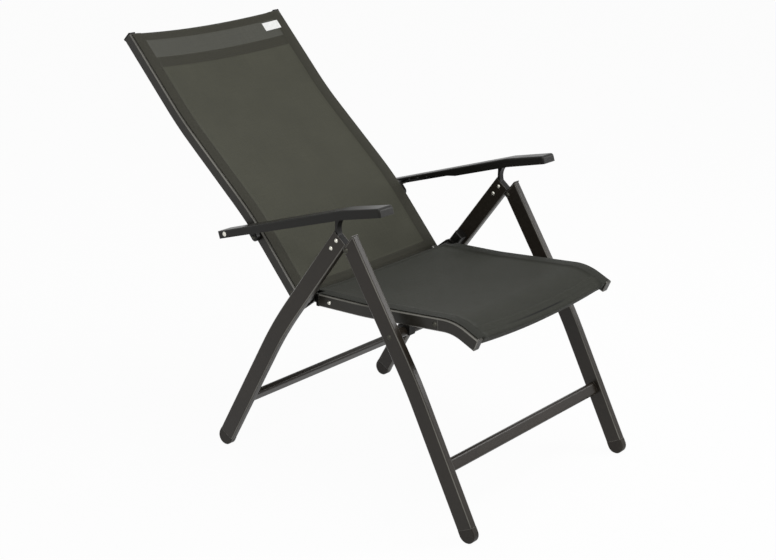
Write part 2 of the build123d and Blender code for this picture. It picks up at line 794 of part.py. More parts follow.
def armrest():
    outline = arm_outline(0)
    nose = outline.vertices().sort_by_distance(arm_point(-arm_front_reach, arm_top - arm_front_fall))[0]
    shell = side_plate(fillet(nose, arm_nose), arm_inner, arm_outer)
    sides = shell.faces().filter_by(Axis.X)
    top_edges = [e for f in sides for e in f.edges() if e.center().Z > arm_edge_level(e.center().Y)]
    shell = fillet(top_edges, arm_corner)
    shell = shell - side_plate(arm_outline(arm_wall), arm_inner + arm_wall, arm_outer - arm_wall)
    cheek_rise = 2 * (arm_top - arm_wall - arm_cheek_radius)
    cheek_root = patch(arm_point(0, arm_cheek_radius), -arm_angle, 2 * arm_cheek_radius, cheek_rise)
    cheek_outline = disc(arm_pivot, arm_cheek_radius) + cheek_root
    reach = stub_half + arm_cheek_gap
    for x_near in (leg_middle - reach - arm_cheek, leg_middle + reach):
        shell = shell + side_plate(cheek_outline, x_near, x_near + arm_cheek)
    bore = arm_pin_size / 2 + bolt_play
    shell = shell - cross_rod(arm_pivot, bore, arm_inner + arm_wall, arm_outer - arm_wall)
    pin_way = path_band(-arm_drop, stop_size / 2 + 2 * stop_play, slot_last_angle, -far_size)
    shell = shell - side_plate(pin_way, arm_inner - overrun, arm_inner + arm_wall + overrun / 2)
    return shell - cross_rod(arm_rivet_place(), rivet_size / 2, arm_inner - overrun, arm_outer + overrun)


def arm_edge_level(y):
    """Height of the armrest's middle line at y, which parts upper edges from lower ones."""
    share = (y - arm_pivot[0])
    return arm_pivot[1] - share * math.tan(math.radians(arm_angle))


def arm_rivet_place():
    return arm_point(arm_rivet_reach, arm_rivet_low)


def arm_rivet():
    shank = cross_rod(arm_rivet_place(), rivet_size / 2, arm_inner, arm_outer)
    outer = low_head(arm_rivet_place(), arm_rivet_head, rivet_head_rise, arm_outer, 1)
    return shank + outer + low_head(arm_rivet_place(), arm_rivet_head, rivet_head_rise, arm_inner, -1)


def arm_pivot_pin():
    reach = stub_half + arm_cheek_gap + arm_cheek
    return cross_rod(arm_pivot, arm_pin_size / 2, leg_middle - reach, leg_middle + reach)


def stop_in_arm(back_turn, lift):
    """Stop pin seen from the armrest, when the back turns and the armrest is lifted."""
    moved = turned(stop_pin, seat_pivot, back_turn)
    return turned(moved, arm_pivot, -(arm_ratio * back_turn + lift))


def stop_path(lift, rise, last):
    """Places of the stop pin in the armrest up to the turn last of the back, moved up by rise."""
    first = notch_angles[0] - notch_margin
    angles = [first + (last - first) * i / path_steps for i in range(path_steps + 1)]
    return [step(stop_in_arm(a, lift), upright - arm_angle, rise) for a in angles]


def path_band(lift, rise, last, edge):
    """Area between the stop pin's path and a line along the armrest at height edge."""
    path = stop_path(lift, rise, last)
    rear = arm_place(path[0])
    front = arm_place(path[-1])
    ends = [(front[0] - rack_front_margin, front[1]), (rear[0] + rack_rear_margin, rear[1])]
    outline = [arm_point(ends[1][0], edge), arm_point(*ends[1])] + path
    outline = outline + [arm_point(*ends[0]), arm_point(ends[0][0], edge)]
    return filled(Polyline(*outline, close=True))


def notch_rail():
    """Toothed rail under the armrest's top: each notch is cut where the stop pin sits."""
    tip_gap = stop_size / 2 + stop_play
    rack = path_band(0, tip_gap, rack_last_angle, arm_top - arm_wall)
    for angle in notch_angles:
        seat = stop_in_arm(angle, -arm_drop)
        free = stop_in_arm(angle, 0)
        rack = rack - bridge(seat, step(free, upright - arm_angle, -tip_gap), 2 * tip_gap)
    inner = arm_inner + rack_inset
    return side_plate(rack, inner, inner + rack_thick)


def arm_place(point):
    """A point's distances along and above the armrest's pivot line."""
    turn = math.radians(arm_angle)
    y, z = point[0] - arm_pivot[0], point[1] - arm_pivot[1]
    return (y * math.cos(turn) - z * math.sin(turn), y * math.sin(turn) + z * math.cos(turn))


# Stop pins on the back rails
carrier_outer = arm_inner - carrier_gap


def carrier_rivet_place():
    return step(stop_pin, back_angle_low, -carrier_rivet_drop)


def pin_carrier():
    """Block on the back rail's outer face that holds the stop pin out to the armrest."""
    half = carrier_width / 2
    plate = bridge(step(stop_pin, back_angle_low, carrier_above - half),
                   step(stop_pin, back_angle_low, half - carrier_below), carrier_width)
    body = side_plate(plate, rail_outer, carrier_outer)
    body = chamfer(body.faces().sort_by(Axis.X)[-1].edges(), edge_soft)
    body = body - cross_rod(stop_pin, stop_size / 2, rail_outer, carrier_outer)
    return body - cross_rod(carrier_rivet_place(), rivet_size / 2, rail_outer, carrier_outer)


def stop_pins():
    pin = cross_rod(stop_pin, stop_size / 2, rail_outer, arm_inner + rack_inset + rack_thick)
    return [pin, flipped(pin)]


def carrier_rivets():
    own = cross_rod(carrier_rivet_place(), rivet_size / 2, rail_middle, carrier_outer)
    own = own + low_head(carrier_rivet_place(), rivet_head, rivet_head_rise, carrier_outer, 1)
    return [own, flipped(own)]


# All nodes
def pair(name, part):
    return {name + "_l": part, name + "_r": flipped(part)}


def all_nodes():
    nodes = {}
    nodes.update(pair("rear_leg", rear_leg()))
    nodes.update(pair("rear_foot", foot_cap(rear_foot, upright + rear_lean_low)))
    nodes.update(pair("hinge_bracket", hinge_bracket()))
    nodes["bracket_rivets"] = Compound(children=bracket_rivets())
    nodes["rear_crossbar"] = flat_bar(rear_bar, upright + rear_lean_low)
    nodes.update(pair("pivot_block", pivot_block()))
    nodes["pivot_bolts"] = Compound(children=pivot_bolts())
    nodes.update(pair("front_leg", front_leg()))
    nodes.update(pair("front_foot", foot_cap(front_foot, upright - front_lean_low)))
    nodes.update(pair("front_leg_cap", front_leg_cap()))
    nodes["leg_hinge_bolts"] = Compound(children=leg_hinge_bolts())
    nodes["front_crossbar"] = flat_bar(front_bar, upright - front_lean_low)
    nodes["upper_cross_tube"] = upper_cross_tube()
    nodes["cross_tube_screws"] = Compound(children=cross_tube_screws())
    nodes.update(pair("seat_rail", seat_rail()))
    nodes.update(pair("seat_nose", seat_nose()))
    nodes["nose_screws"] = Compound(children=rail_fastener(nose_screw_place(), screw_head, screw_head_rise))
    nodes.update(pair("seat_lug", seat_lug()))
    nodes["seat_rivets"] = Compound(children=rail_fastener(seat_rivet_place(), rivet_head, rivet_head_rise))
    nodes["seat_front_bar"] = seat_front_bar()
    nodes["seat_rear_bar"] = seat_rear_bar()
    nodes.update(pair("seat_saddle", seat_saddle()))
    nodes["seat_sling"] = seat_sling()
    nodes["seat_keders"] = Compound(children=seat_keders())
    nodes.update(pair("back_rail", back_rail()))
    nodes.update(pair("back_hinge", back_hinge()))
    nodes["back_rivets"] = Compound(children=rail_fastener(back_rivet_place(), rivet_head, rivet_head_rise))
    nodes.update(pair("back_top_cap", back_top_cap()))
    nodes["back_top_bar"] = back_top_bar()
    nodes["back_bottom_bar"] = back_bottom_bar()
    nodes["back_sling"] = back_sling()
    nodes["back_keders"] = Compound(children=back_keders())
    nodes.update(pair("pin_carrier", pin_carrier()))
    nodes["stop_pins"] = Compound(children=stop_pins())
    nodes["carrier_rivets"] = Compound(children=carrier_rivets())
    nodes.update(pair("arm_pivot_pin", arm_pivot_pin()))
    nodes.update(pair("armrest", armrest()))
    nodes.update(pair("notch_rail", notch_rail()))
    nodes.update(pair("arm_rivet", arm_rivet()))
    return nodes


def middle_shift(nodes):
    """Move that puts the middle of the whole box over the origin."""
    boxes = [node.bounding_box() for node in nodes.values()]
    front = min(box.min.Y for box in boxes)
    rear = max(box.max.Y for box in boxes)
    low = min(box.min.Z for box in boxes)
    return Pos(0, -(front + rear) / 2, -low)


def main():
    os.makedirs("parts", exist_ok=True)
    nodes = all_nodes()
    shift = middle_shift(nodes)
    for name, node in nodes.items():
        export_step(shift * node, "parts/" + name + ".step")
    for name, point in (("leg hinge", leg_hinge), ("seat pivot", seat_pivot), ("arm pivot", arm_pivot),
                        ("stop pin", stop_pin), ("cross tube", tube_centre),
                        ("rear foot", rear_foot), ("front foot", front_foot)):
        print(name, round(point[0] + shift.position.Y, 3), round(point[1] + shift.position.Z, 3))


main()
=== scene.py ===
import json
import math

import bmesh
import bpy
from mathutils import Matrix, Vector

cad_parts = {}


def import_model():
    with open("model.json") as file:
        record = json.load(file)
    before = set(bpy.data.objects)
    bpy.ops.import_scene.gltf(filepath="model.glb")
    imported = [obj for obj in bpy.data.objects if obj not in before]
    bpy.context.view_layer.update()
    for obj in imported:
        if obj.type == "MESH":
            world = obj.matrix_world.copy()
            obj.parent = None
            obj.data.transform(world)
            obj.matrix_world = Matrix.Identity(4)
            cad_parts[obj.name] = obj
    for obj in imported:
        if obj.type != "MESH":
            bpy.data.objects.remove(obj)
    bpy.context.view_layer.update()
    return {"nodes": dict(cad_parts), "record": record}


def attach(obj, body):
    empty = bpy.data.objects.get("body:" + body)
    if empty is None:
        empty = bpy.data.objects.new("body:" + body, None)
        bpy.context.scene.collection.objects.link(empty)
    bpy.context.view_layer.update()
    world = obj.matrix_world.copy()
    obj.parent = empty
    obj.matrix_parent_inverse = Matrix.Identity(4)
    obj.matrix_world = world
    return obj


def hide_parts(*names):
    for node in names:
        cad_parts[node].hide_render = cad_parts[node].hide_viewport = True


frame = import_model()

# Lengths are in metres. Places in the side view are (y, z) from the pivot of seat and back.
JOINT_PLACES = {joint["name"]: joint["pos_m"] for joint in frame["record"]["behaviour"]["joints"]}
PIVOT = JOINT_PLACES["back_recline"]

# Camera, solved from the photograph; the lens and the sensor are in millimetres
CAM_PLACE = (-2.3629, -2.05608, 1.05969)
CAM_YAW, CAM_PITCH, CAM_ROLL = 49.135, 19.108, -0.08
CAM_LENS, CAM_SENSOR = 67.66, 36

# Seat: the rails' middle line, its bend radii, and how the sling lies over it
SEAT_LINE = [(-0.4445, 0.0025), (-0.39085, 0.02582), (-0.15235, 0.00286), (0.0015, -0.0044)]
SEAT_BENDS = [0.106, 0.850]
SEAT_LIFT = 0.0135
SEAT_SAG = 0.012
SEAT_BORDER_END = -0.0255
SEAT_REAR_BOW = 0.017
SEAT_BOW_RUN, SEAT_BOW_RETURN = 0.080, 0.024

# Seat wraps: (along, under) from the front of the line, then round the rear bar
SEAT_FRONT_WRAP = [(0.058, 0.0052), (0.043, 0.030), (0.012, 0.030), (0.002, 0.014)]
SEAT_FRONT_BENDS = [0.008, 0.006, 0.0055, 0.0045]
SEAT_BAR = (-0.029, -0.012)
SEAT_BAR_REACH, SEAT_BAR_UNDER = 0.010, 0.0095
SEAT_REAR_BENDS = [0.004, 0.007, 0.007]
SEAT_REAR_RETURN = 0.072

# Back: the same for its rails and sling
BACK_LINE = [(0.04574, -0.01576), (0.17634, 0.13186), (0.39865, 0.31807), (0.56623, 0.49404)]
BACK_BENDS = [0.850, 0.850]
BACK_LIFT = 0.013
BACK_SAG = 0.016
BACK_BAR_SAG_SHARE = 14 / 16
BACK_TILT = 48.5
BACK_LOW_RETURN = 0.060
BACK_LOW_TURN = (0.001, 0.0295)
BACK_TOP_TURN = 0.026
BACK_LOW_BENDS, BACK_TOP_BENDS = [0.009, 0.008], [0.008, 0.009]

# Slings: thickness, half widths, and the extra height of hems and bands
CLOTH_THICK = 0.0012
SEW_GAP = 0.0004
EDGE_X = 0.2346
SLEEVE_X = 0.2190
RAIL_X = 0.222
HEM_X = 0.205
HEM_RAISE = 0.0007
BAND_RAISE_SHARE = 0.6

# Hems and bands, from the ends of the stretch over the rails
SEAT_FRONT_HEM, SEAT_REAR_HEM = 0.030, 0.010
SEAT_HEM_EDGE, BACK_HEM_EDGE = 0.003, 0.004
SEAT_HEM_UNDER, BACK_HEM_UNDER = 0.1, 0.2
SLIT = (0.0092, 0.0124)
# Across the seat: where the slit's painted shadow fades in, is full, starts to fade and ends
SLIT_SHADOW_X = (-0.13, -0.03, 0.05, 0.09)
BACK_LOW_HEM, BACK_TOP_HEM = 0.019, 0.022
BAND_TOP, BAND_LOW = 0.071, 0.098
BACK_TOP_RETURN = BAND_LOW - 0.003

# Seams
SIDE_SEAM_X = HEM_X + 0.004
SEAM_HALF = 0.2
SEAM_END = 0.012
WIDE_INSET, THIN_INSET = 0.004, 0.003
STITCH_PITCH, STITCH_LENGTH = 0.0052, 0.0036
STITCH_WIDE, STITCH_TALL, STITCH_SIDES = 0.0009, 0.0006, 6
STITCH_SWELLS = (0.45, 1.0, 0.45)

# Tag and keder cords
TAG_X = (0.164, 0.2115)
TAG_TOP, TAG_LOW = 0.027, 0.050
TAG_HEIGHTS = (0.0001, 0.0006)
TAG_CURL = 0.0004
TAG_COLUMNS, TAG_ROWS = 8, 5
KEDER_X = 0.234
KEDER_RADIUS = 0.0024
KEDER_UNDER = 0.006
KEDER_START = 0.0005
KEDER_SEAT_END, KEDER_BACK_END = -0.0258, 0.0025
KEDER_SEAT_GAP = 0.001
KEDER_SIDES = 10

# Mesh steps; ARC_STEP is in degrees
LINE_STEP = 0.007
ARC_STEP, ARC_LEAST_STEPS = 9, 4
COLUMN_STEP = 0.011
KEDER_STEP = 0.012
MARK_HALF = 0.0006

# Studio: lamps are (name, place, size, power in watts)
FLOOR_GLOW = 0.96
WORLD_LIGHT = 0.30
FLOOR_HALF = 30.0
FLOOR_GREY = (0.86, 0.86, 0.86, 1)
LAMP_AIM = (0, 0, 0.45)
LAMPS = [
    ("top_softbox", (0.4, -0.9, 3.2), (2.2, 2.2), 42),
    ("front_softbox", (2.2, -2.3, 1.9), (1.2, 1.4), 36),
    ("edge_softbox", (-1.9, -1.35, 2.35), (0.7, 0.7), 14),
]


def lin(r, g, b):
    """Linear colour of an sRGB one written 0 to 255."""
    def one(v):
        v /= 255
        return v / 12.92 if v <= 0.04045 else ((v + 0.055) / 1.055) ** 2.4
    return (one(r), one(g), one(b))


def times(colour, factor):
    return tuple(min(1, c * factor) for c in colour)


# Spread of the noise that most looks follow, and how far a face turns towards its bevel at an edge
NOISE_LOW, NOISE_HIGH = 0.3, 0.7
ON_FACE, ON_EDGE = 0.985, 0.90
BEVEL_SAMPLES = 6

# Colours
BLACKNESS = (0.0, 0.0, 0.0)
WEAVE_SHADE = (0.004, 0.004, 0.003)
# Light colour of the painted highlight on edges and corners of the powder coat
PAINTED_EDGE_HIGHLIGHT = lin(158, 156, 148)
SEAT_CLOTH, SEAT_HEM_CLOTH = lin(49, 50, 43), lin(43, 44, 38)
BACK_CLOTH, BACK_HEM_CLOTH, BACK_STRIP = lin(75, 75, 64), lin(58, 57, 48), lin(84, 84, 77)

# Mesh cloth: pitch and blurs in metres, and the stretch of the noise along each set of threads
WEAVE_PITCH = 0.0016
SEAM_BLUR, SLIT_SHADOW_BLUR = 0.0012, 0.0008
ALONG_WEFT, ALONG_WARP = (14.0, 520.0, 1.0), (520.0, 14.0, 1.0)


# Materials
class Mat:
    """Short calls for building a node material."""

    def __init__(self, name):
        self.material = bpy.data.materials.new(name)
        self.material.use_nodes = True
        self.tree = self.material.node_tree
        self.tree.nodes.clear()
        self.out = self.tree.nodes.new("ShaderNodeOutputMaterial")
        self.shader = self.tree.nodes.new("ShaderNodeBsdfPrincipled")
        self.link(self.shader.outputs[0], self.out.inputs[0])

    def node(self, kind, **inputs):
        """New node; inputs are named as in Blender, with _ for a space."""
        node = self.tree.nodes.new(kind)
        for name, value in inputs.items():
            node.inputs[name.replace("_", " ")].default_value = value
        return node

    def link(self, start, end):
        self.tree.links.new(start, end)

    def set(self, **inputs):
        for name, value in inputs.items():
            self.shader.inputs[name.replace("_", " ")].default_value = value

    def coords(self, kind="Object"):
        return self.node("ShaderNodeTexCoord").outputs[kind]

    def split(self, vector):
        node = self.node("ShaderNodeSeparateXYZ")
        self.link(vector, node.inputs[0])
        return node.outputs

    def scaled(self, vector, scale):
        node = self.node("ShaderNodeMapping", Scale=scale)
        self.link(vector, node.inputs["Vector"])
        return node.outputs[0]

    def noise(self, vector, scale, detail=2.0, rough=0.5):
        node = self.node("ShaderNodeTexNoise", Scale=scale, Detail=detail, Roughness=rough)
        self.link(vector, node.inputs["Vector"])
        return node.outputs["Fac"]

    def math(self, operation, *values):
        node = self.tree.nodes.new("ShaderNodeMath")
        node.operation = operation
        for socket, value in zip(node.inputs, values):
            if isinstance(value, (int, float)):
                socket.default_value = value
            else:
                self.link(value, socket)
        return node.outputs[0]

    def remap(self, value, low, high, at_low=0.0, at_high=1.0):
        node = self.node("ShaderNodeMapRange", From_Min=low, From_Max=high, To_Min=at_low, To_Max=at_high)
        self.link(value, node.inputs["Value"])
        return node.outputs["Result"]

    def vary(self, noise, low, high):
        """Number that follows a noise from low to high."""
        return self.remap(noise, NOISE_LOW, NOISE_HIGH, low, high)

    def past(self, value, mark, blur=SEAM_BLUR):
        """1 where value is over mark, 0 where it is under."""
        return self.remap(value, mark - blur, mark + blur)

    def within(self, value, low, high, blur=SEAM_BLUR):
        """1 where value lies between low and high, 0 elsewhere."""
        before_high = self.math("SUBTRACT", 1.0, self.past(value, high, blur))
        return self.math("MULTIPLY", self.past(value, low, blur), before_high)

    def mix(self, share, first, second):
        node = self.tree.nodes.new("ShaderNodeMix")
        node.data_type = "RGBA"
        self.link(share, node.inputs["Factor"])
        for socket, value in ((node.inputs[6], first), (node.inputs[7], second)):
            if isinstance(value, tuple):
                socket.default_value = (*value, 1)
            else:
                self.link(value, socket)
        return node.outputs[2]

    def shades(self, share, base, low, high):
        """Colour between base times low and base times high."""
        return self.mix(share, times(base, low), times(base, high))

    def edges(self, width):
        """Share that grows from 0 on flat faces to 1 on edges, over a band of this width."""
        bevel = self.node("ShaderNodeBevel", Radius=width)
        bevel.samples = BEVEL_SAMPLES
        flat = self.node("ShaderNodeNewGeometry").outputs["Normal"]
        both = self.tree.nodes.new("ShaderNodeVectorMath")
        both.operation = "DOT_PRODUCT"
        self.link(bevel.outputs[0], both.inputs[0])
        self.link(flat, both.inputs[1])
        return self.remap(both.outputs["Value"], ON_FACE, ON_EDGE)

    def corners(self):
        """1 on the long corners between a member's side and its front or rear face, 0 on the faces."""
        sideways = self.split(self.node("ShaderNodeNewGeometry").outputs["Normal"])[0]
        square = self.math("MULTIPLY", sideways, sideways)
        turned = self.math("MULTIPLY", square, self.math("SUBTRACT", 1.0, square))
        return self.math("POWER", self.math("MULTIPLY", turned, 4.0), 3.0)

    def bump(self, height, strength, distance):
        node = self.node("ShaderNodeBump", Strength=strength, Distance=distance)
        self.link(height, node.inputs["Height"])
        self.link(node.outputs[0], self.shader.inputs["Normal"])

    def finish(self, colour, rough):
        self.link(colour, self.shader.inputs["Base Color"])
        self.link(rough, self.shader.inputs["Roughness"])
        return self.material


def powder_coat(name, base, rough):
    """Satin powder coat: fine grains, faint clouds, and edges and corners painted lighter as a highlight."""
    m = Mat(name)
    place = m.coords()
    cloud = m.noise(place, scale=7.0, detail=3.0)
    speck = m.noise(place, scale=2600.0, detail=1.0)
    grain = m.noise(place, scale=1300.0)
    # Painted highlight: bevelled edges and the long corners are mixed towards a light colour
    corner = m.corners()
    edge_highlight = m.math("MAXIMUM", corner, m.edges(width=0.0016))
    edge_highlight = m.math("MULTIPLY", edge_highlight, m.vary(cloud, 0.4, 0.8))
    colour = m.shades(m.remap(cloud, 0.35, 0.7), base, low=0.9, high=1.1)
    colour = m.mix(m.remap(speck, 0.55, 0.75, at_high=0.5), colour, times(base, 2.0))
    colour = m.mix(edge_highlight, colour, PAINTED_EDGE_HIGHLIGHT)
    m.bump(grain, strength=0.22, distance=0.0002)
    m.set(Specular_IOR_Level=0.2, Coat_Weight=0.12, Coat_Roughness=0.2)
    even = m.vary(cloud, rough - 0.04, rough + 0.05)
    return m.finish(colour, m.math("SUBTRACT", even, m.math("MULTIPLY", corner, 0.14)))


def moulded(name, base, rough, grain=900.0, strength=0.25):
    """Moulded plastic with a fine eroded grain, and edges painted lighter as a highlight."""
    m = Mat(name)
    place = m.coords()
    cloud = m.noise(place, scale=12.0)
    grit = m.node("ShaderNodeTexVoronoi", Scale=grain)
    m.link(place, grit.inputs["Vector"])
    # Painted highlight: edges are lightened to four times the base colour
    edge_highlight = m.math("MULTIPLY", m.edges(width=0.0012), m.vary(cloud, 0.2, 0.5))
    colour = m.shades(m.remap(cloud, 0.35, 0.65), base, low=0.88, high=1.12)
    colour = m.mix(edge_highlight, colour, times(base, 4))
    m.bump(grit.outputs["Distance"], strength, distance=0.00025)
    m.set(Specular_IOR_Level=0.2)
    return m.finish(colour, m.vary(cloud, rough - 0.05, rough + 0.05))


def bare_metal(name, base, rough):
    """Turned or pressed metal with fine scratches and dull patches."""
    m = Mat(name)
    place = m.coords()
    patch = m.noise(place, scale=60.0)
    scratch = m.noise(place, scale=1500.0, detail=3.0, rough=0.7)
    colour = m.shades(m.vary(patch, 0.0, 1.0), base, low=0.85, high=1.0)
    m.bump(scratch, strength=0.15, distance=0.0001)
    m.set(Metallic=1.0)
    return m.finish(colour, m.vary(scratch, rough - 0.08, rough + 0.1))


def fibrous(name, base, rough):
    """Uncoated thread or tape with a soft uneven tone."""
    m = Mat(name)
    place = m.coords()
    cloud = m.noise(place, scale=180.0, detail=3.0)
    fibre = m.noise(place, scale=1400.0)
    colour = m.shades(m.remap(cloud, 0.35, 0.65), base, low=0.93, high=1.0)
    m.bump(fibre, strength=0.2, distance=0.0002)
    return m.finish(colour, m.vary(fibre, rough - 0.05, rough + 0.05))


def weave(m, place, across, along):
    """Height of a plain weave, and the uneven thickness of its threads."""
    turn = 2 * math.pi / WEAVE_PITCH
    wave_a = m.math("SINE", m.math("MULTIPLY", across, turn))
    wave_b = m.math("SINE", m.math("MULTIPLY", along, turn))
    thread = m.math("MULTIPLY_ADD", m.math("MULTIPLY", wave_a, wave_b), 0.5, 0.5)
    pick = m.noise(m.scaled(place, ALONG_WEFT), scale=1.0)
    slub = m.noise(m.scaled(place, ALONG_WARP), scale=1.0)
    grain = m.math("MULTIPLY_ADD", pick, 0.5, m.math("MULTIPLY", slub, 0.5))
    return thread, grain


def slit_shadow_share(m, across, along):
    """Share of the painted shadow in the slit at the seat's front edge, which fades out towards its ends."""
    start, full, fading, end = SLIT_SHADOW_X
    fade = m.math("MULTIPLY", m.remap(across, start, full), m.remap(across, fading, end, 1.0, 0.0))
    return m.math("MULTIPLY", m.within(along, *SLIT, SLIT_SHADOW_BLUR), fade)


def mesh_cloth(name, base, hem, bands, strip=None, with_slit_shadow=False):
    """Coated mesh with a plain weave, darker where it is doubled.

    The UV is the distance across from the middle and the length along the sheet. bands are the
    doubled stretches along it, and strip is a (from, to, colour) between them.
    """
    m = Mat(name)
    place = m.coords("UV")
    across, along, _ = m.split(place)
    thread, grain = weave(m, place, across, along)
    cloud = m.noise(place, scale=9.0, detail=3.0)
    colour = m.shades(m.remap(cloud, 0.35, 0.65), base, low=0.95, high=1.05)
    if strip:
        low, high, tone = strip
        colour = m.mix(m.within(along, low, high), colour, tone)
    doubled = m.past(m.math("ABSOLUTE", across), HEM_X)
    for low, high in bands:
        doubled = m.math("MAXIMUM", doubled, m.within(along, low, high))
    colour = m.mix(doubled, colour, hem)
    colour = m.mix(m.remap(grain, 0.38, 0.62, at_low=0.16, at_high=0.0), colour, BLACKNESS)
    colour = m.mix(m.remap(thread, 0.0, 1.0, at_low=0.22, at_high=0.0), colour, WEAVE_SHADE)
    if with_slit_shadow:
        # Painted shadow: a black line in the slit behind the seat's front hem
        colour = m.mix(slit_shadow_share(m, across, along), colour, BLACKNESS)
    m.set(Sheen_Weight=0.05, Sheen_Roughness=0.5, Specular_IOR_Level=0.15)
    m.bump(m.math("MULTIPLY_ADD", grain, 0.6, thread), strength=0.4, distance=0.0005)
    return m.finish(colour, m.vary(grain, 0.62, 0.76))


LEG = powder_coat("leg_powder_coat", lin(44, 39, 33), rough=0.34)
RAIL = powder_coat("rail_powder_coat", lin(46, 44, 39), rough=0.34)
CAP = moulded("foot_moulding", lin(43, 39, 34), rough=0.45)
BLACK = moulded("black_moulding", lin(24, 23, 21), rough=0.4)
ARM = moulded("arm_moulding", lin(24, 23, 20), rough=0.36, grain=700.0, strength=0.08)
SILVER = bare_metal("rivet_aluminium", lin(220, 218, 208), rough=0.35)
STEEL = bare_metal("dark_steel", lin(70, 69, 63), rough=0.4)
THREAD = fibrous("sewing_thread", lin(58, 57, 49), rough=0.8)
CORD = moulded("keder_cord", lin(42, 41, 36), rough=0.6)
TAG = fibrous("bare_tag", lin(240, 240, 238), rough=0.7)

NODES_OF = [
    (LEG, ("rear_leg", "front_leg", "front_leg_cap", "rear_crossbar", "front_crossbar", "upper_cross_tube")),
    (RAIL, ("seat_rail", "seat_nose", "seat_front_bar", "seat_rear_bar",
            "back_rail", "back_top_bar", "back_bottom_bar")),
    (CAP, ("rear_foot", "front_foot")),
    (ARM, ("armrest",)),
    (SILVER, ("arm_rivet", "bracket_rivets", "seat_rivets")),
    (STEEL, ("back_rivets", "carrier_rivets", "pivot_bolts", "leg_hinge_bolts", "cross_tube_screws",
             "nose_screws", "stop_pins", "arm_pivot_pin")),
]


def dress_nodes():
    """Gives each CAD node its material. All nodes that NODES_OF leaves out are black mouldings."""
    looks = {base: material for material, bases in NODES_OF for base in bases}
    for name, node in frame["nodes"].items():
        base = name[:-2] if name.endswith(("_l", "_r")) else name
        node.data.materials.clear()
        node.data.materials.append(looks.get(base, BLACK))


# Side-view lines
def left_of(way):
    return Vector((-way.y, way.x))


def lifted(points, bends, lift):
    """The line moved sideways to its left by lift, with the bend radii that it then has."""
    ways = [(b - a).normalized() for a, b in zip(points, points[1:])]
    moved = [points[0] + left_of(ways[0]) * lift]
    radii = []
    for corner, before, after, bend in zip(points[1:], ways, ways[1:], bends):
        middle = (left_of(before) + left_of(after)).normalized()
        moved.append(corner + middle * lift / middle.dot(left_of(before)))
        turn = before.x * after.y - before.y * after.x
        radii.append(bend - lift if turn > 0 else bend + lift)
    moved.append(points[-1] + left_of(ways[-1]) * lift)
    return moved, radii


def arc(before, corner, after, radius):
    """Points of the arc that rounds a corner between its two neighbours."""
    a, b = (corner - before).normalized(), (after - corner).normalized()
    turn = math.atan2(a.x * b.y - a.y * b.x, a.dot(b))
    reach = radius * math.tan(abs(turn) / 2)
    enter = corner - a * reach
    centre = enter + left_of(a) * radius * (1 if turn > 0 else -1)
    arm = enter - centre
    by_angle = math.ceil(math.degrees(abs(turn)) / ARC_STEP)
    by_length = math.ceil(radius * abs(turn) / LINE_STEP)
    count = max(ARC_LEAST_STEPS, by_angle, by_length)
    places = []
    for j in range(count + 1):
        cos, sin = math.cos(turn * j / count), math.sin(turn * j / count)
        places.append(centre + Vector((arm.x * cos - arm.y * sin, arm.x * sin + arm.y * cos)))
    return places


class Line:
    """Points along straight runs joined by arcs, each with its length, left side and share of the sag."""

    def __init__(self, corners, bends, weights, start_at):
        rough = [(corners[0], weights[0])]
        for i, bend in enumerate(bends, start=1):
            places = arc(corners[i - 1], corners[i], corners[i + 1], bend)
            rough += [(place, weights[i]) for place in places]
        rough.append((corners[-1], weights[-1]))
        self.points = [rough[0]]
        for place, weight in rough[1:]:
            last, last_weight = self.points[-1]
            count = max(1, math.ceil((place - last).length / LINE_STEP))
            for j in range(1, count + 1):
                share = j / count
                self.points.append((last.lerp(place, share), last_weight + (weight - last_weight) * share))
        self.lengths = [0.0]
        for (a, _), (b, _) in zip(self.points, self.points[1:]):
            self.lengths.append(self.lengths[-1] + (b - a).length)
        self.start = self.lengths[self.nearest(start_at)]

    def nearest(self, place):
        return min(range(len(self.points)), key=lambda i: (self.points[i][0] - place).length)

    def length_to(self, place):
        """Length from the main stretch's start to the point nearest to place."""
        return self.lengths[self.nearest(place)] - self.start

    def length_to_y(self, y):
        """Length from the main stretch's start to the first point behind y."""
        for (place, _), length in zip(self.points, self.lengths):
            if length > self.start and place.x > y:
                return length - self.start

    def side(self, i):
        a = self.points[max(i - 1, 0)][0]
        b = self.points[min(i + 1, len(self.points) - 1)][0]
        return left_of((b - a).normalized())

    def at(self, along):
        """Place, left side and share of the sag at a length from the main stretch's start."""
        target = along + self.start
        i = 1
        while i < len(self.points) - 1 and self.lengths[i] < target:
            i += 1
        share = (target - self.lengths[i - 1]) / (self.lengths[i] - self.lengths[i - 1])
        (a, weight_a), (b, weight_b) = self.points[i - 1], self.points[i]
        side = self.side(i - 1).lerp(self.side(i), share)
        return a.lerp(b, share), side, weight_a + (weight_b - weight_a) * share


class Sling:
    """A sheet over both rails, whose middle also wraps the cross bars at its ends.

    border is the stretch that reaches over the rails, raised gives the extra thickness of the hems,
    and bow moves the middle of the sheet backwards.
    """

    def __init__(self, line, border, sag, sag_way, raised, bow=None):
        self.line, self.border, self.bow = line, border, bow
        self.sag, self.sag_way, self.raised = sag, sag_way, raised

    def point(self, x, along, up):
        place, side, weight = self.line.at(along)
        middle = max(0.0, 1 - (x / RAIL_X) ** 2)
        place = place + side * up + self.sag_way * self.sag * weight * middle
        if self.bow:
            place = place + Vector((self.bow(along) * middle, 0.0))
        return Vector((x, PIVOT[1] + place.x, PIVOT[2] + place.y))

    def top(self, x, along, up=0.0):
        return self.point(x, along, CLOTH_THICK + self.raised(abs(x), along) + up)

    def underside(self, x, along):
        return self.point(x, along, 0.0)

    def area(self):
        whole = self.line.lengths[-1]
        return 2 * SLEEVE_X * whole + 2 * (EDGE_X - SLEEVE_X) * (self.border[1] - self.border[0])


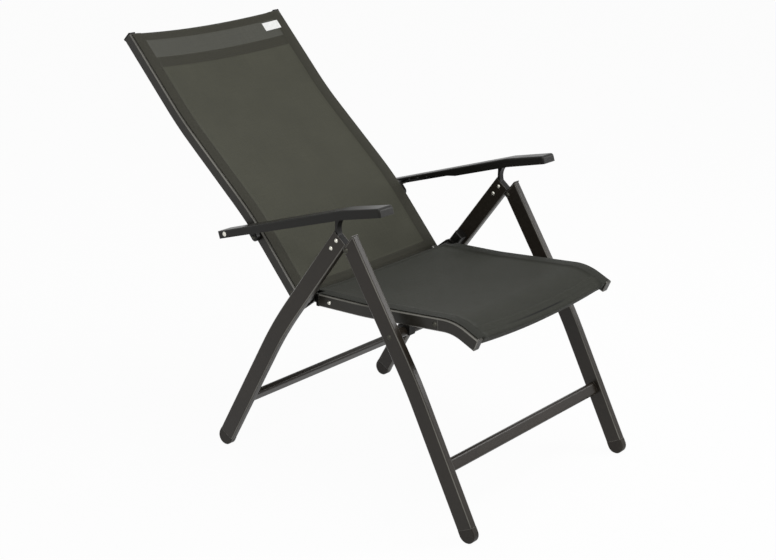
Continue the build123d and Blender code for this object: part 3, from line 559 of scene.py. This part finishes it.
# Soft pieces
def new_object(name, bm, material):
    bmesh.ops.recalc_face_normals(bm, faces=bm.faces)
    mesh = bpy.data.meshes.new(name)
    bm.to_mesh(mesh)
    bm.free()
    mesh.materials.append(material)
    piece = bpy.data.objects.new(name, mesh)
    bpy.context.scene.collection.objects.link(piece)
    return piece


def join_rings(bm, rings):
    """Closed tube through rings of vertices, with a face over each end."""
    for a, b in zip(rings, rings[1:]):
        for k in range(len(a)):
            following = (k + 1) % len(a)
            bm.faces.new((a[k], a[following], b[following], b[k]))
    bm.faces.new(rings[0])
    bm.faces.new(rings[-1])


def spread(values, gap):
    """Fills the stretches between values with even steps no wider than gap."""
    filled = []
    for a, b in zip(values, values[1:]):
        count = max(1, math.ceil((b - a) / gap))
        filled += [a + (b - a) * i / count for i in range(count)]
    return filled + [values[-1]]


def sheet_columns():
    """Places across the sheet, with a close pair at the hem and at the edge."""
    marks = [0.0, HEM_X - MARK_HALF, HEM_X + MARK_HALF, SLEEVE_X, EDGE_X - MARK_HALF, EDGE_X]
    half = spread(marks, COLUMN_STEP)
    return [-x for x in reversed(half[1:])] + half


def sheet_rows(sling, marks):
    """Places along the sheet: those of its line, and a close pair at each mark."""
    start = sling.line.start
    ends = (-start, sling.line.lengths[-1] - start)
    rows = [length - start for length in sling.line.lengths]
    rows += [mark + d for mark in marks for d in (-MARK_HALF, MARK_HALF)]
    rows += sling.border
    rows = sorted({round(s, 5) for s in rows if ends[0] <= s <= ends[1]} | set(ends))
    return [s for i, s in enumerate(rows) if i == 0 or s - rows[i - 1] > MARK_HALF / 2]


def sheet_piece(name, sling, marks, material):
    """Closed sheet of the sling, with the border columns only over the rails."""
    columns = sheet_columns()
    rows = sheet_rows(sling, marks)
    bm = bmesh.new()
    uv = bm.loops.layers.uv.new("UVMap")
    flat = {}

    def used(i, j):
        """Whether there is cloth between column i and the next, in row j."""
        if not (0 <= i < len(columns) - 1 and 0 <= j < len(rows) - 1):
            return False
        inner = max(abs(columns[i]), abs(columns[i + 1])) <= SLEEVE_X + MARK_HALF / 2
        low_end, high_end = sling.border
        return inner or (rows[j] >= low_end - MARK_HALF and rows[j + 1] <= high_end + MARK_HALF)

    def layer_of(place_at):
        layer = {}
        for j, s in enumerate(rows):
            for i, x in enumerate(columns):
                if any(used(a, b) for a in (i - 1, i) for b in (j - 1, j)):
                    layer[i, j] = bm.verts.new(place_at(x, s))
                    flat[layer[i, j]] = (x, s)
        return layer

    top, low = layer_of(sling.top), layer_of(sling.underside)
    for j in range(len(rows) - 1):
        for i in range(len(columns) - 1):
            if not used(i, j):
                continue
            for layer in (top, low):
                bm.faces.new((layer[i, j], layer[i + 1, j], layer[i + 1, j + 1], layer[i, j + 1]))
            walls = (((i, j), (i + 1, j), (i, j - 1)), ((i, j + 1), (i + 1, j + 1), (i, j + 1)),
                     ((i, j), (i, j + 1), (i - 1, j)), ((i + 1, j), (i + 1, j + 1), (i + 1, j)))
            for a, b, neighbour in walls:
                if not used(*neighbour):
                    bm.faces.new((top[a], top[b], low[b], low[a]))
    for face in bm.faces:
        face.smooth = True
        for loop in face.loops:
            loop[uv].uv = flat[loop.vert]
    return new_object(name, bm, material)


def stitch(bm, sling, spots):
    """One raised stitch through three spots (x, s) of the sheet, thinner at its ends."""
    places = [sling.top(*spot) for spot in spots]
    way = (places[2] - places[0]).normalized()
    up = (sling.top(*spots[0], 0.001) - places[0]).normalized()
    across = way.cross(up).normalized()
    rings = []
    for place, swell in zip(places, STITCH_SWELLS):
        ring = []
        for k in range(STITCH_SIDES):
            angle = 2 * math.pi * k / STITCH_SIDES
            offset = across * math.cos(angle) * STITCH_WIDE / 2 + up * math.sin(angle) * STITCH_TALL
            ring.append(bm.verts.new(place + offset * swell))
        rings.append(ring)
    join_rings(bm, rings)


def stitches(name, sling, seams):
    """Rows of stitches; each seam is (x0, s0, x1, s1) on the sheet."""
    bm = bmesh.new()
    for x0, s0, x1, s1 in seams:
        run = math.hypot(x1 - x0, s1 - s0)
        for i in range(int(run / STITCH_PITCH)):
            shares = [(i * STITCH_PITCH + STITCH_LENGTH * part) / run for part in (0.0, 0.5, 1.0)]
            stitch(bm, sling, [(x0 + (x1 - x0) * share, s0 + (s1 - s0) * share) for share in shares])
    return new_object(name, bm, THREAD)


def tag_piece(sling, top_s):
    """Bare white tag sewn on the upper corner of the back."""
    columns, rows = TAG_COLUMNS, TAG_ROWS
    bm = bmesh.new()
    layers = []
    for up in TAG_HEIGHTS:
        layer = {}
        for j in range(rows + 1):
            s = top_s - TAG_LOW + (TAG_LOW - TAG_TOP) * j / rows
            for i in range(columns + 1):
                curl = TAG_CURL * math.sin(math.pi * i / columns)
                x = TAG_X[0] + (TAG_X[1] - TAG_X[0]) * i / columns
                layer[i, j] = bm.verts.new(sling.top(x, s, up + curl))
        layers.append(layer)
    low, top = layers
    for layer in layers:
        for j in range(rows):
            for i in range(columns):
                bm.faces.new((layer[i, j], layer[i + 1, j], layer[i + 1, j + 1], layer[i, j + 1]))
    rim = [(i, 0) for i in range(columns)] + [(columns, j) for j in range(rows)]
    rim += [(i, rows) for i in range(columns, 0, -1)] + [(0, j) for j in range(rows, 0, -1)]
    for a, b in zip(rim, rim[1:] + rim[:1]):
        bm.faces.new((top[a], top[b], low[b], low[a]))
    return new_object("bare_tag", bm, TAG)


def keder_profile():
    """Round cord with the thin fin on top that carries the sheet, as (across, up)."""
    fin_half = CLOTH_THICK / 2
    gap = math.asin(fin_half / KEDER_RADIUS)
    profile = []
    for k in range(KEDER_SIDES + 1):
        angle = math.pi / 2 + gap + (2 * math.pi - 2 * gap) * k / KEDER_SIDES
        profile.append((KEDER_RADIUS * math.cos(angle), KEDER_RADIUS * math.sin(angle)))
    return profile + [(fin_half, KEDER_UNDER), (-fin_half, KEDER_UNDER)]


def keder_pair(name, line, end):
    """The cords in the channels of both rails, up to the length end."""
    bm = bmesh.new()
    for way in (-1, 1):
        rings = []
        for s in spread([KEDER_START, end], KEDER_STEP):
            place, side, _ = line.at(s)
            ring = []
            for across, up in keder_profile():
                spot = place + side * up
                ring.append(bm.verts.new((way * KEDER_X + across, PIVOT[1] + spot.x, PIVOT[2] + spot.y)))
            rings.append(ring)
        join_rings(bm, rings)
    return new_object(name, bm, CORD)


def keder_line(points, bends, lift):
    """Line of the cords, under the rails' front faces."""
    places, radii = lifted([Vector(p) for p in points], bends, lift - KEDER_UNDER)
    return Line(places, radii, [0.0] * len(places), places[0])


def keders():
    seat_line = keder_line(SEAT_LINE, SEAT_BENDS, SEAT_LIFT)
    back_line = keder_line(BACK_LINE, BACK_BENDS, BACK_LIFT)
    seat_end = seat_line.length_to_y(KEDER_SEAT_END) - KEDER_SEAT_GAP
    return (keder_pair("seat_keder_cords", seat_line, seat_end),
            keder_pair("back_keder_cords", back_line, back_line.lengths[-1] - KEDER_BACK_END))


def seams_of(side_end, cross):
    """Seams along both side hems up to side_end, and across the sheet at each length in cross."""
    sides = [(way * SIDE_SEAM_X, SEAM_END, way * SIDE_SEAM_X, side_end) for way in (-1, 1)]
    return sides + [(-SEAM_HALF, s, SEAM_HALF, s) for s in cross]


def seat_line():
    """Side view of the seat's sheet, and its length over the rails."""
    under, radii = lifted([Vector(p) for p in SEAT_LINE], SEAT_BENDS, SEAT_LIFT)
    nose = (under[1] - under[0]).normalized()
    down = -left_of(nose)
    rear_way = (under[-1] - under[-2]).normalized()
    bar = Vector(SEAT_BAR)
    corners = [under[0] + nose * along + down * below for along, below in SEAT_FRONT_WRAP] + under
    corners += [bar + Vector((reach, -SEAT_BAR_UNDER)) for reach in (SEAT_BAR_REACH, -SEAT_BAR_REACH)]
    corners.append(under[-1] - rear_way * SEAT_REAR_RETURN - left_of(rear_way) * SEW_GAP)
    bends = SEAT_FRONT_BENDS + radii + SEAT_REAR_BENDS
    weights = [1.0] * (len(SEAT_FRONT_WRAP) + len(under)) + [0.0, 0.0, 1.0]
    line = Line(corners, bends, weights, under[0])
    return line, line.length_to(under[-1])


def seat_sling():
    line, length = seat_line()
    border = (0.0, line.length_to_y(SEAT_BORDER_END))

    def raised(x, s):
        front_hem = SLIT[1] < s < SEAT_FRONT_HEM
        rear_hem = length - SEAT_REAR_HEM < s < length - SEAT_HEM_EDGE
        return HEM_RAISE if x > HEM_X or front_hem or rear_hem else 0.0

    def bow(s):
        """Moves the rear edge backwards, to meet the back's lower hem."""
        run = SEAT_BOW_RUN if s < length else SEAT_BOW_RETURN
        share = min(1.0, max(0.0, 1 - abs(s - length) / run))
        return SEAT_REAR_BOW * share * share * (3 - 2 * share)

    sling = Sling(line, border, SEAT_SAG, Vector((0.0, -1.0)), raised, bow)
    bands = [(length - SEAT_REAR_HEM, length + SEAT_HEM_UNDER)]
    cloth = mesh_cloth("seat_mesh", SEAT_CLOTH, SEAT_HEM_CLOTH, bands, with_slit_shadow=True)
    marks = [SLIT[1], SEAT_FRONT_HEM, length - SEAT_REAR_HEM]
    piece = sheet_piece("seat_mesh_sling", sling, marks, cloth)
    cross = (SEAT_FRONT_HEM - WIDE_INSET, length - SEAT_REAR_HEM + THIN_INSET)
    seams = stitches("seat_stitching", sling, seams_of(border[1] - WIDE_INSET, cross))
    return sling, piece, seams


def back_line():
    """Side view of the back's sheet, and its length over the rails."""
    under, radii = lifted([Vector(p) for p in BACK_LINE], BACK_BENDS, BACK_LIFT)
    low, top = under[0], under[-1]
    low_way = (under[1] - low).normalized()
    top_way = (top - under[-2]).normalized()
    behind_low, behind_top = -left_of(low_way), -left_of(top_way)
    along, behind = BACK_LOW_TURN
    corners = [low + low_way * BACK_LOW_RETURN + behind_low * SEW_GAP,
               low + low_way * along + behind_low * behind]
    corners += under
    corners += [top + behind_top * BACK_TOP_TURN, top - top_way * BACK_TOP_RETURN + behind_top * SEW_GAP]
    bends = BACK_LOW_BENDS + radii + BACK_TOP_BENDS
    weights = [1.0, BACK_BAR_SAG_SHARE] + [1.0] * len(under) + [BACK_BAR_SAG_SHARE, 1.0]
    line = Line(corners, bends, weights, low)
    return line, line.length_to(top)


def back_sling():
    line, length = back_line()

    def raised(x, s):
        from_top = length - s
        if x > HEM_X or BACK_HEM_EDGE < s < BACK_LOW_HEM or BACK_HEM_EDGE < from_top < BACK_TOP_HEM:
            return HEM_RAISE
        return HEM_RAISE * BAND_RAISE_SHARE if BAND_TOP < from_top < BAND_LOW else 0.0

    sag_turn = math.radians(BACK_TILT - 90)
    sag_way = Vector((math.cos(sag_turn), math.sin(sag_turn)))
    sling = Sling(line, (0.0, length), BACK_SAG, sag_way, raised)
    bands = [(-BACK_HEM_UNDER, BACK_LOW_HEM), (length - BAND_LOW, length - BAND_TOP),
             (length - BACK_TOP_HEM, length + BACK_HEM_UNDER)]
    strip = (length - BAND_TOP, length - BACK_TOP_HEM, BACK_STRIP)
    cloth = mesh_cloth("back_mesh", BACK_CLOTH, BACK_HEM_CLOTH, bands, strip)
    marks = [BACK_LOW_HEM] + [length - mark for mark in (BAND_LOW, BAND_TOP, BACK_TOP_HEM)]
    piece = sheet_piece("back_mesh_sling", sling, marks, cloth)
    cross = (BACK_LOW_HEM - THIN_INSET, length - BACK_TOP_HEM + THIN_INSET,
             length - BAND_LOW + WIDE_INSET, length - BAND_TOP - WIDE_INSET)
    seams = stitches("back_stitching", sling, seams_of(length - SEAM_END, cross))
    return sling, piece, seams, tag_piece(sling, length)


def soft_pieces():
    seat, seat_piece, seat_seams = seat_sling()
    back, back_piece, back_seams, tag = back_sling()
    seat_cords, back_cords = keders()
    for piece in (seat_piece, seat_seams, seat_cords):
        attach(piece, "seat_frame")
    for piece in (back_piece, back_seams, tag, back_cords):
        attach(piece, "back_frame")
    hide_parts("seat_sling")
    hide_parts("back_sling")
    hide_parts("seat_keders")
    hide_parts("back_keders")
    for sling, piece, extras, rails in ((seat, seat_piece, [seat_seams], "seat_rail"),
                                        (back, back_piece, [back_seams, tag], "back_rail")):
        sling.area()


# Studio
def floor():
    """Floor that is white to the camera and in reflections, and keeps the chair's shadow."""
    half = FLOOR_HALF
    mesh = bpy.data.meshes.new("floor")
    mesh.from_pydata([(-half, -half, 0), (half, -half, 0), (half, half, 0), (-half, half, 0)],
                     [], [(0, 1, 2, 3)])
    piece = bpy.data.objects.new("floor", mesh)
    bpy.context.scene.collection.objects.link(piece)
    m = Mat("floor_white")
    m.set(Base_Color=FLOOR_GREY, Roughness=0.9, Specular_IOR_Level=0.1)
    path = m.node("ShaderNodeLightPath")
    seen = m.math("MAXIMUM", path.outputs["Is Glossy Ray"], path.outputs["Is Transmission Ray"])
    seen = m.math("MAXIMUM", seen, path.outputs["Is Camera Ray"])
    mixer = m.node("ShaderNodeMixShader")
    m.link(m.math("MULTIPLY", seen, FLOOR_GLOW), mixer.inputs[0])
    m.link(m.shader.outputs[0], mixer.inputs[1])
    m.link(m.node("ShaderNodeEmission", Strength=1.0).outputs[0], mixer.inputs[2])
    m.link(mixer.outputs[0], m.out.inputs[0])
    mesh.materials.append(m.material)


def world():
    """Soft light from all sides, white to the camera and in reflections."""
    sky = bpy.data.worlds.new("studio")
    bpy.context.scene.world = sky
    sky.use_nodes = True
    tree = sky.node_tree
    tree.nodes.clear()
    out = tree.nodes.new("ShaderNodeOutputWorld")
    light = tree.nodes.new("ShaderNodeBackground")
    light.inputs["Strength"].default_value = WORLD_LIGHT
    white = tree.nodes.new("ShaderNodeBackground")
    white.inputs["Color"].default_value = (1, 1, 1, 1)
    white.inputs["Strength"].default_value = 1.0
    path = tree.nodes.new("ShaderNodeLightPath")
    seen = tree.nodes.new("ShaderNodeMath")
    seen.operation = "MAXIMUM"
    tree.links.new(path.outputs["Is Camera Ray"], seen.inputs[0])
    tree.links.new(path.outputs["Is Glossy Ray"], seen.inputs[1])
    mixer = tree.nodes.new("ShaderNodeMixShader")
    tree.links.new(seen.outputs[0], mixer.inputs[0])
    tree.links.new(light.outputs[0], mixer.inputs[1])
    tree.links.new(white.outputs[0], mixer.inputs[2])
    tree.links.new(mixer.outputs[0], out.inputs[0])


def lamps():
    for name, place, size, power in LAMPS:
        data = bpy.data.lights.new(name, "AREA")
        data.shape = "RECTANGLE"
        data.size, data.size_y = size
        data.energy = power
        lamp = bpy.data.objects.new(name, data)
        lamp.location = place
        lamp.rotation_euler = (Vector(LAMP_AIM) - Vector(place)).to_track_quat("-Z", "Y").to_euler()
        bpy.context.scene.collection.objects.link(lamp)


def camera():
    data = bpy.data.cameras.new("camera")
    data.lens = CAM_LENS
    data.sensor_width = CAM_SENSOR
    eye = bpy.data.objects.new("camera", data)
    eye.location = (CAM_PLACE[0], PIVOT[1] + CAM_PLACE[1], PIVOT[2] + CAM_PLACE[2])
    eye.rotation_euler = (math.radians(90 - CAM_PITCH), math.radians(CAM_ROLL), math.radians(-CAM_YAW))
    bpy.context.scene.collection.objects.link(eye)
    bpy.context.scene.camera = eye


dress_nodes()
soft_pieces()
floor()
world()
lamps()
camera()
bpy.context.scene.view_settings.view_transform = "Standard"

bpy.context.view_layer.update()
